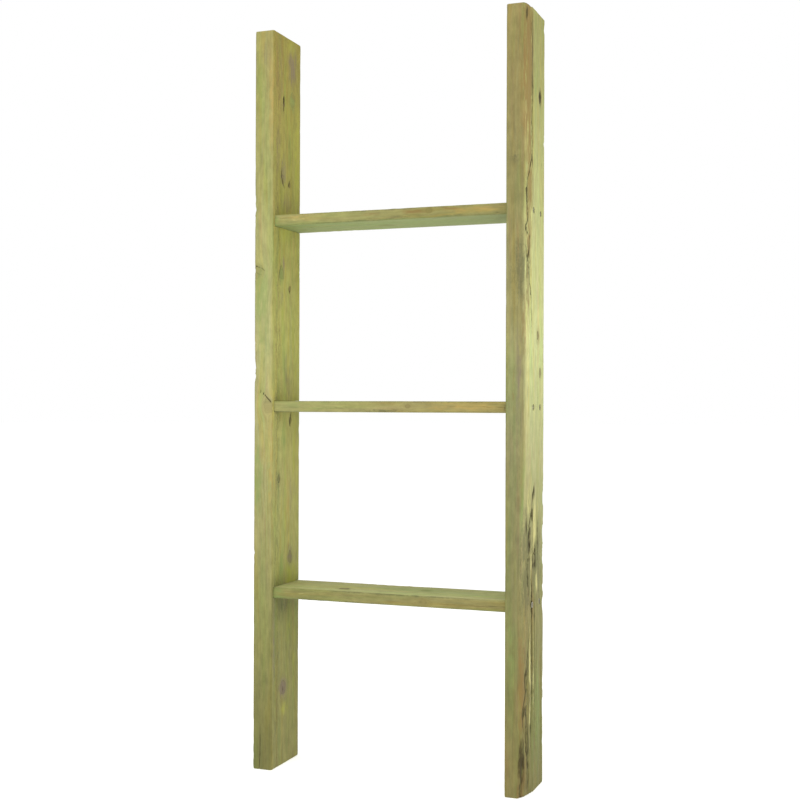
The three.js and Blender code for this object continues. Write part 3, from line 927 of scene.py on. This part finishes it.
def hole_cutter(head, inward, length):
    """A screw's hole through a rail, with its countersink."""
    wide = HEAD_RADIUS + SCREW_PLAY
    narrow = SHANK_RADIUS + SCREW_PLAY
    mouth = (wide, -SCREW_SUNK - OVERRUN)
    return turned_cutter((mouth, (wide, HEAD_RIM), (narrow, HEAD_LENGTH), (narrow, length)), head, inward)


def cut(thing, cutters):
    """Takes the cutters out of a piece, for good."""
    tools = [shown("cutter", mesh) for mesh in cutters]
    for tool in tools:
        step = thing.modifiers.new("cut", "BOOLEAN")
        step.operation = "DIFFERENCE"
        step.solver = "MANIFOLD"
        step.object = tool
    made = bpy.data.meshes.new_from_object(thing.evaluated_get(bpy.context.evaluated_depsgraph_get()))
    thing.modifiers.clear()
    thing.data = made
    for tool in tools:
        bpy.data.objects.remove(tool)


def rail_cutters(side):
    """The housings and screw holes in one rail."""
    inward = -SIDES[side]
    low, high = box_mm(f"{side}_rail")
    inner = high[0] if inward > 0 else low[0]
    for level in LEVELS:
        rung_low, rung_high = box_mm(f"{level}_rung")
        near, far = sorted((inner - inward * HOUSING_DEPTH, inner + inward * OVERRUN))
        yield box_cutter(
            (near, rung_low[1] - PLAY, rung_low[2] - PLAY),
            (far, high[1] + OVERRUN, rung_high[2] + PLAY),
        )
    for _, head in screw_places(side):
        yield hole_cutter(head, inward, high[0] - low[0] + OVERRUN)


def rung_cutters(level):
    """Holes in both ends for the screws."""
    low, high = box_mm(f"{level}_rung")
    for side, sign in SIDES.items():
        end = low[0] if sign < 0 else high[0]
        for node, head in screw_places(side):
            if not node.startswith(level):
                continue
            screw_low, screw_high = box_mm(node)
            length = screw_high[0] - screw_low[0]
            bore = SHANK_RADIUS + SCREW_PLAY + THREAD_ROOM
            start = (end + sign * OVERRUN, head[1], head[2])
            deepest = length - abs(start[0] - head[0]) + PLAY
            yield turned_cutter(((bore, 0), (bore, deepest)), start, -sign)


def finish_piece(thing, node, slot, material, sharp_angle):
    """Gives a piece its shading and material, and puts it in its CAD node's place."""
    mesh = thing.data
    mesh.name = thing.name
    mesh.shade_smooth()
    mesh.set_sharp_from_angle(angle=math.radians(sharp_angle))
    mesh.materials.clear()
    mesh.materials.append(material)
    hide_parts(node)
    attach(thing, "root")


def make_board(board, ease, cutters):
    thing = shown(board.name, board_mesh(board, ease))
    cut(thing, list(cutters))
    mark_timber(board, thing.data)
    finish_piece(thing, board.node, board.slot, timber(board), BOARD_SHARP)


# Materials


class Nodes:
    """Short ways to add the nodes that these materials use."""

    def __init__(self, name):
        self.material = bpy.data.materials.new(name)
        self.material.use_nodes = True
        self.tree = self.material.node_tree
        self.shader = self.tree.nodes["Principled BSDF"]

    def fill(self, socket, value):
        """Links a socket to another, or sets its value."""
        if isinstance(value, bpy.types.NodeSocket):
            self.tree.links.new(value, socket)
        else:
            socket.default_value = value

    def put(self, kind, inputs=None, **settings):
        node = self.tree.nodes.new(kind)
        for key, value in settings.items():
            setattr(node, key, value)
        for key, value in (inputs or {}).items():
            self.fill(node.inputs[key], value)
        return node

    def attribute(self, name, vector=False):
        node = self.put("ShaderNodeAttribute", attribute_name=name)
        return node.outputs["Vector" if vector else "Fac"]

    def math(self, operation, a, b=0.0, c=0.0):
        return self.put("ShaderNodeMath", {0: a, 1: b, 2: c}, operation=operation).outputs[0]

    def times(self, a, b):
        return self.math("MULTIPLY", a, b)

    def noise(self, vector, size, detail=3.0, roughness=0.55, offset=0.0):
        """Noise whose bumps have this size along each axis, in the vector's own units."""
        scale = [1 / part for part in size]
        scaled = self.put("ShaderNodeVectorMath", {0: vector, 1: scale}, operation="MULTIPLY")
        moved = self.put("ShaderNodeVectorMath", {0: scaled.outputs[0], 1: [offset] * 3}, operation="ADD")
        inputs = {"Vector": moved.outputs[0], "Scale": 1.0, "Detail": detail, "Roughness": roughness}
        return self.put("ShaderNodeTexNoise", inputs).outputs["Fac"]

    def span(self, value, low, high, to_low=0.0, to_high=1.0, smooth=True):
        """The value from low to high, as a value from to_low to to_high."""
        inputs = {"Value": value, "From Min": low, "From Max": high, "To Min": to_low, "To Max": to_high}
        kind = "SMOOTHSTEP" if smooth else "LINEAR"
        return self.put("ShaderNodeMapRange", inputs, interpolation_type=kind).outputs["Result"]

    def mix(self, factor, a, b, blend="MIX"):
        inputs = {0: factor, 6: a, 7: b}  # the sockets of a colour mix
        return self.put("ShaderNodeMix", inputs, data_type="RGBA", blend_type=blend).outputs[2]

    def tinted(self, factor, colour, tint):
        return self.mix(factor, colour, tint, blend="MULTIPLY")

    def bump(self, height, strength, distance, normal=None):
        inputs = {"Height": height, "Strength": strength, "Distance": distance}
        if normal is not None:
            inputs["Normal"] = normal
        return self.put("ShaderNodeBump", inputs).outputs["Normal"]

    def feed(self, name, value):
        self.fill(self.shader.inputs[name], value)


# The timber's fine noises: the size of a bump along t, w and l in mm, detail, roughness, offset.
TEXTURES = {
    "wobble": ((9, 9, 120), 2.0, 0.55, 0),
    "fade": ((20, 20, 200), 3.0, 0.55, 3),
    "fibre": ((0.9, 0.9, 46), 4.0, 0.7, 29),
    "cloud": ((8, 8, 22), 5.0, 0.62, 31),
    "lines": ((0.55, 0.55, 85), 2.0, 0.55, 33),
    "pores": ((0.4, 0.4, 7), 2.0, 0.55, 35),
    "knot_edge": ((3, 3, 8), 4.0, 0.55, 37),
    "ragged": ((2.4, 2.4, 13), 5.0, 0.7, 43),
    "speck": ((1.8, 1.8, 4), 3.0, 0.65, 47),
}
# Drifts of green, ochre, pink and grey: what each does to the timber's colour, the size of its
# patches, the offset of its noise, and the levels of it between which it sets in.
DRIFTS = (
    ((0.90, 1.02, 0.88), (15, 15, 190), 7.0, 0.45, 0.70),
    ((1.05, 0.98, 0.78), (10, 10, 230), 13.0, 0.47, 0.72),
    ((1.02, 0.90, 0.98), (7, 7, 120), 19.0, 0.50, 0.76),
    ((0.86, 0.88, 0.93), (6, 6, 60), 23.0, 0.48, 0.76),
)
LATE_WOOD = (0.90, 0.85, 0.74, 1.0)
BAST_TINT = (1.06, 0.99, 0.97, 1.0)
WORN_EDGE = (0.66, 0.64, 0.56, 1.0)
SPECK = (0.80, 0.79, 0.72, 1.0)
# Each stain's colour, the levels at which it starts to show and is full, and how much it covers. Some rows
# of the dark and mould kinds on the boards are painted shade, as marked there.
STAINS = {
    "green": (shade(128, 150, 84), 0.05, 0.9, 0.55),
    "lime": (shade(170, 171, 70), 0.05, 0.9, 0.6),
    "ochre": (shade(186, 154, 84), 0.05, 0.9, 0.6),
    "bruise": (shade(124, 108, 100), 0.05, 0.9, 0.65),
    "bark": (shade(132, 106, 60), 0.1, 0.9, 0.75),
    "mould": (shade(92, 92, 64), 0.15, 0.9, 0.6),
    "pale": (shade(206, 200, 134), 0.2, 0.9, 0.8),
    "dark": (shade(60, 53, 26), 0.2, 0.95, 0.92),
}
SPECKLED = ("mould",)  # these stains come in specks, the others in ragged patches
KNOT_HEART = shade(112, 96, 62)
KNOT_RIM = shade(62, 56, 34)
# The colour of the painted shade in the cracks' bottoms.
CRACK_PAINTED_SHADE = shade(50, 44, 24)
SAW_PITCH = 3.1
# The strength of each bump in the timber, and its height in metres.
SAW_BUMP = (0.2, 0.00006)
RING_BUMP = (0.3, 0.00012)
FIBRE_BUMP = (0.7, 0.0003)


def texture(n, grain, offset, name):
    size, detail, roughness, shift = TEXTURES[name]
    return n.noise(grain, size, detail, roughness, offset + shift)


def timber_colour(n, grain, offset, ring_width):
    """Rings, streaks and drifts of colour in clear timber, over face colours that hold painted light and
    shade, with the rings' and fibres' heights.
    """
    wobble = texture(n, grain, offset, "wobble")
    ring = n.math("MULTIPLY_ADD", wobble, 2.6, n.attribute("ring"))
    turn = n.math("FRACT", n.math("DIVIDE", ring, ring_width))
    late = n.times(n.span(turn, 0.3, 0.9), n.span(turn, 1.0, 0.9))
    fade = n.span(texture(n, grain, offset, "fade"), 0.35, 0.75, 0.1, 0.75)
    colour = n.attribute("tint", vector=True)
    for tint, size, shift, low, high in DRIFTS:
        drift = n.span(n.noise(grain, size, detail=4.0, offset=offset + shift), low, high)
        colour = n.tinted(drift, colour, (*tint, 1.0))
    colour = n.tinted(n.times(late, fade), colour, LATE_WOOD)
    fibre = texture(n, grain, offset, "fibre")
    streak = n.span(fibre, 0.3, 0.7, 0.93, 1.06)
    cloud = texture(n, grain, offset, "cloud")
    level = n.times(streak, n.span(cloud, 0.27, 0.73, 0.87, 1.11))
    lines = texture(n, grain, offset, "lines")
    pores = texture(n, grain, offset, "pores")
    level = n.times(level, n.span(lines, 0.52, 0.66, 1.0, 0.91))
    level = n.times(level, n.span(pores, 0.6, 0.7, 1.0, 0.87))
    grey = n.put("ShaderNodeCombineColor", {0: level, 1: level, 2: level}).outputs[0]
    height = n.math("ADD", fibre, n.span(lines, 0.5, 0.66, 0.15, 0.0))
    return n.tinted(1.0, colour, grey), late, height


def add_knots(n, colour, grain, offset):
    """Each knot's ringed heart, its dark rim and the tint round it."""
    away = n.attribute("knot")
    strength = n.attribute("knot_strength")
    uneven = texture(n, grain, offset, "knot_edge")
    near = n.math("ADD", away, n.span(uneven, 0.2, 0.8, -0.35, 0.35, smooth=False))
    circle = n.math("FRACT", n.times(near, 4.5))
    heart = n.mix(n.span(circle, 0.3, 1.0, 0.0, 0.45), KNOT_HEART, KNOT_RIM)
    halo = n.times(n.span(near, 2.2, 1.0, 0.0, 0.45), strength)
    colour = n.mix(halo, colour, KNOT_HEART)
    colour = n.mix(n.times(n.span(near, 1.1, 0.8), strength), colour, heart)
    rim = n.times(n.span(near, 0.8, 0.97), n.span(near, 1.16, 1.0))
    return n.mix(n.times(rim, strength), colour, KNOT_RIM)


def add_stains(n, colour, grain, offset):
    """The bark side's tint, worn edges, specks of dirt, and then each kind of stain, some rows of which are
    painted shade.
    """
    ragged = texture(n, grain, offset, "ragged")
    speck = texture(n, grain, offset, "speck")
    bast = n.times(n.attribute("wane"), n.span(ragged, 0.3, 0.65, 0.2, 1.0))
    colour = n.tinted(bast, colour, BAST_TINT)
    worn = n.times(n.attribute("edge"), n.span(ragged, 0.25, 0.75, 0.15, 0.85))
    colour = n.tinted(worn, colour, WORN_EDGE)
    specks = n.times(n.span(speck, 0.58, 0.74, 0.0, 0.8), n.span(ragged, 0.4, 0.7, 0.15, 1.0))
    colour = n.tinted(specks, colour, SPECK)
    for name, (tint, low, high, most) in STAINS.items():
        broken = speck if name in SPECKLED else ragged
        level = n.math("ADD", n.attribute(name), n.span(broken, 0.25, 0.75, -0.3, 0.3, smooth=False))
        cover = n.times(n.span(level, low, high, 0.0, most), n.span(n.attribute(name), 0.02, 0.25))
        colour = n.mix(cover, colour, tint)
    return colour


def saw_marks(n, grain):
    """Faint cross lines from the saw, as a height."""
    shifted = n.noise(grain, (30, 30, 90), detail=1.0)
    place = n.put("ShaderNodeSeparateXYZ", {0: grain}).outputs[2]
    phase = n.math("MULTIPLY_ADD", shifted, 14.0, n.times(place, 2 * math.pi / SAW_PITCH))
    return n.span(n.math("SINE", phase), -1.0, 1.0)


def timber(board):
    """Sawn softwood, green from treatment, with everything that the board's mesh marks on it."""
    n = Nodes(board.name)
    offset = float(board.seed)
    grain = n.attribute("grain", vector=True)
    colour, late, fibre = timber_colour(n, grain, offset, board.ring_width)
    colour = add_knots(n, colour, grain, offset)
    colour = add_stains(n, colour, grain, offset)
    # Painted shade in the bottom of each crack, darker the deeper the crack.
    colour = n.mix(n.span(n.attribute("crack"), 0.1, 0.7, 0.0, 0.85), colour, CRACK_PAINTED_SHADE)
    n.feed("Base Color", colour)
    n.feed("Roughness", n.span(fibre, 0.2, 0.8, 0.92, 0.74))
    n.feed("Specular IOR Level", 0.25)
    saw = n.bump(saw_marks(n, grain), *SAW_BUMP)
    ridge = n.bump(late, *RING_BUMP, saw)
    n.feed("Normal", n.bump(fibre, *FIBRE_BUMP, ridge))
    return n.material


def zinc():
    """Dull zinc plating, greyed outdoors."""
    n = Nodes("dull_zinc")
    place = n.put("ShaderNodeTexCoord").outputs["Object"]
    cloud = n.noise(place, (0.0016, 0.0016, 0.0016), detail=5.0, roughness=0.6)
    colour = n.mix(n.span(cloud, 0.35, 0.65), shade(120, 116, 96), shade(158, 154, 134))
    n.feed("Base Color", colour)
    n.feed("Metallic", 0.8)
    n.feed("Roughness", n.span(cloud, 0.3, 0.7, 0.6, 0.42))
    n.feed("Normal", n.bump(cloud, 0.4, 0.00005))
    return n.material


# Screws: countersunk head with a cross recess, plain shank, cut thread and a gimlet point

SCREW_LENGTH = 70.0
PLAIN_SHANK = 24.0  # from the head's top to where the thread starts
POINT_LENGTH = 7.0
POINT_END = 0.04  # the last ring's radius, over the thread's
THREAD_PITCH = 2.6
THREAD_CORE = 1.65
THREAD_CREST = 2.5
THREAD_FLANK = 0.28  # half of a ridge's width, over the pitch
RINGS_PER_TURN = 10
SCREW_SIDES = 24
HEAD_CHAMFER = 0.15
RECESS_SPAN = 5.4
RECESS_WIDTH = 1.1
RECESS_DEPTH = 2.2
RECESS_REACH = 1.0  # of the cutter past the head's top
RECESS_TAPER = (1 / 2.6, 0.7)  # its span and width at the bottom, over those at the top
FIRST_TURN = 0.5  # of the first screw's recess, in radians
NEXT_TURN = 1.1  # from each screw's recess to the next one's
SCREW_SHARP = 38


def screw_radius(distance, angle):
    """The screw's radius in mm at a distance from the head's top and an angle about its axis."""
    if distance == 0:
        return HEAD_RADIUS - HEAD_CHAMFER
    if distance <= HEAD_RIM:
        return HEAD_RADIUS
    if distance <= HEAD_LENGTH:
        return HEAD_RADIUS - (distance - HEAD_RIM)
    if distance <= PLAIN_SHANK:
        return SHANK_RADIUS
    turn = (distance / THREAD_PITCH - angle / (2 * math.pi)) % 1
    ridge = max(0, 1 - abs(turn - 0.5) / THREAD_FLANK)
    started = min(1, (distance - PLAIN_SHANK) / THREAD_PITCH)
    taper = min(1, max(POINT_END, (SCREW_LENGTH - distance) / POINT_LENGTH))
    core = THREAD_CORE + (SHANK_RADIUS - THREAD_CORE) * (1 - started)
    return (core + (THREAD_CREST - core) * ridge * started) * taper


def screw_stations():
    """How far from the head's top each of the screw's rings lies."""
    head = [0, HEAD_CHAMFER, HEAD_RIM, HEAD_RIM + 0.6, HEAD_RIM + 1.6, HEAD_LENGTH]
    shank = [HEAD_LENGTH + 4, HEAD_LENGTH + 12, PLAIN_SHANK]
    step = THREAD_PITCH / RINGS_PER_TURN
    return head + shank + list(np.arange(PLAIN_SHANK + step, SCREW_LENGTH, step))


def screw_body(head, inward):
    rings = [
        turned_ring(head, inward, d, lambda angle, d=d: screw_radius(d, angle), SCREW_SIDES)
        for d in screw_stations()
    ]
    return ringed_mesh("screw", rings, tip=(head[0] + inward * SCREW_LENGTH, head[1], head[2]))


def recess_cutter(head, inward, turn):
    """One tapering arm of the cross recess, turned about the screw's axis."""
    rings = []
    for depth, span, width in (
        (-RECESS_REACH, RECESS_SPAN, RECESS_WIDTH),
        (0, RECESS_SPAN, RECESS_WIDTH),
        (RECESS_DEPTH, RECESS_SPAN * RECESS_TAPER[0], RECESS_WIDTH * RECESS_TAPER[1]),
    ):
        ring = []
        for a, b in ((-1, -1), (1, -1), (1, 1), (-1, 1)):
            y, z = a * span / 2, b * width / 2
            turned_y = y * math.cos(turn) - z * math.sin(turn)
            turned_z = y * math.sin(turn) + z * math.cos(turn)
            ring.append((head[0] + inward * depth, head[1] + turned_y, head[2] + turned_z))
        rings.append(ring)
    return ringed_mesh("recess", rings)


def make_screws(material):
    """The screws on both sides, each with its recess turned another way."""
    places = [(*place, -sign) for side, sign in SIDES.items() for place in screw_places(side)]
    for count, (node, head, inward) in enumerate(places):
        thing = shown(f"{node}_steel", screw_body(head, inward))
        turn = FIRST_TURN + NEXT_TURN * count
        cut(thing, [recess_cutter(head, inward, turn + k * math.pi / 2) for k in (0, 1)])
        finish_piece(thing, node, "screw_steel", material, SCREW_SHARP)


def make_rungs():
    for level in LEVELS:
        board = Board(
            name=f"{level}_rung_timber",
            node=f"{level}_rung",
            faces=FACES["rung"],
            axes=RUNG_AXES,
            slot="rung_timber",
            seed=RUNG_SEED[level],
            pith=RUNG_PITH[level],
            ring_width=RUNG_RING_WIDTH,
            colours=RUNG_COLOURS[level],
            knots=RUNG_KNOTS[level],
            cracks=RUNG_CRACKS[level],
            stains=RUNG_STAINS[level],
            chips=RUNG_CHIPS[level],
        )
        make_board(board, RUNG_EASE, rung_cutters(level))


# Floor, light and camera

FLOOR_RADIUS = 40.0  # metres, as are the other sizes here
FLOOR_SIDES = 96
FLOOR_GAP = 0.0004  # below the rails' feet
FLOOR_GLOW = 0.53
ROOM_LIGHT = 0.52
WHITE = (1.0, 1.0, 1.0, 1.0)
CAMERA_AZIMUTH = math.radians(20.71)
CAMERA_PITCH = math.radians(0.26)
CAMERA_ROLL = math.radians(-0.2)
CAMERA_DISTANCE = 2.0161
CAMERA_ASIDE = 0.0234
CAMERA_HEIGHT = 0.5906
CAMERA_LENS = 57.96  # mm, as is the sensor
SENSOR_WIDTH = 36
# Each lamp's name, place, target, width in metres, power in watts and colour.
LAMPS = (
    ("key_right", (1.3, -0.4, 0.8), (0.2, 0, 0.75), 0.4, 5.6, (255, 253, 247)),
    ("fill_front", (-0.3, -2.2, 0.95), (0, 0, 0.75), 1.0, 6.0, (255, 254, 250)),
    ("soft_top", (0.0, -0.5, 2.6), (0, 0, 0.6), 1.6, 26.0, (255, 255, 253)),
)


def floor_material():
    """A white lit table: matt, with a faint glow of its own so that shadows stay light."""
    n = Nodes("pale_floor")
    place = n.put("ShaderNodeTexCoord").outputs["Object"]
    cloud = n.noise(place, (0.5, 0.5, 0.5), detail=3.0)
    n.feed("Base Color", n.mix(cloud, shade(246, 246, 245), shade(250, 250, 249)))
    n.feed("Roughness", 0.9)
    n.feed("Specular IOR Level", 0.1)
    n.feed("Emission Color", WHITE)
    n.feed("Emission Strength", FLOOR_GLOW)
    return n.material


def make_floor():
    shell = bmesh.new()
    bmesh.ops.create_circle(shell, cap_ends=True, segments=FLOOR_SIDES, radius=FLOOR_RADIUS)
    mesh = bpy.data.meshes.new("floor")
    shell.to_mesh(mesh)
    shell.free()
    floor = shown("floor", mesh)
    floor.location.z = cad_bounds[0][2] - FLOOR_GAP
    mesh.materials.append(floor_material())


def make_world():
    """An even, softly lit room whose walls look plain white."""
    world = bpy.data.worlds.new("studio")
    world.use_nodes = True
    tree = world.node_tree
    back = tree.nodes["Background"]
    back.inputs["Color"].default_value = WHITE
    path = tree.nodes.new("ShaderNodeLightPath")
    level = tree.nodes.new("ShaderNodeMapRange")
    level.inputs["To Min"].default_value = ROOM_LIGHT
    level.inputs["To Max"].default_value = 1.0
    tree.links.new(path.outputs["Is Camera Ray"], level.inputs["Value"])
    tree.links.new(level.outputs["Result"], back.inputs["Strength"])
    bpy.context.scene.world = world


def make_lights():
    for name, place, target, width, power, colour in LAMPS:
        data = bpy.data.lights.new(name, "AREA")
        data.shape = "SQUARE"
        data.size = width
        data.energy = power
        data.color = shade(*colour)[:3]
        lamp = shown(name, data)
        lamp.location = place
        aim = Vector(target) - Vector(place)
        lamp.rotation_euler = aim.to_track_quat("-Z", "Y").to_euler()


def make_camera():
    """The camera faces the ladder from the front, to its right, at half its height."""
    front = cad_bounds[0][1]
    sine, cosine = math.sin(CAMERA_AZIMUTH), math.cos(CAMERA_AZIMUTH)
    data = bpy.data.cameras.new("camera")
    data.lens = CAMERA_LENS
    data.sensor_width = SENSOR_WIDTH
    camera = shown("camera", data)
    aside = CAMERA_DISTANCE * sine + CAMERA_ASIDE * cosine
    ahead = front - CAMERA_DISTANCE * cosine + CAMERA_ASIDE * sine
    turn = (
        Matrix.Rotation(CAMERA_AZIMUTH, 4, "Z")
        @ Matrix.Rotation(math.pi / 2 + CAMERA_PITCH, 4, "X")
        @ Matrix.Rotation(-CAMERA_ROLL, 4, "Z")
    )
    camera.matrix_world = Matrix.Translation((aside, ahead, CAMERA_HEIGHT)) @ turn
    bpy.context.scene.camera = camera


make_camera()
make_world()
make_floor()
make_lights()
make_board(LEFT_RAIL, RAIL_EASE, rail_cutters("left"))
make_board(RIGHT_RAIL, RAIL_EASE, rail_cutters("right"))
make_rungs()
make_screws(zinc())
bpy.context.scene.view_settings.view_transform = "Standard"
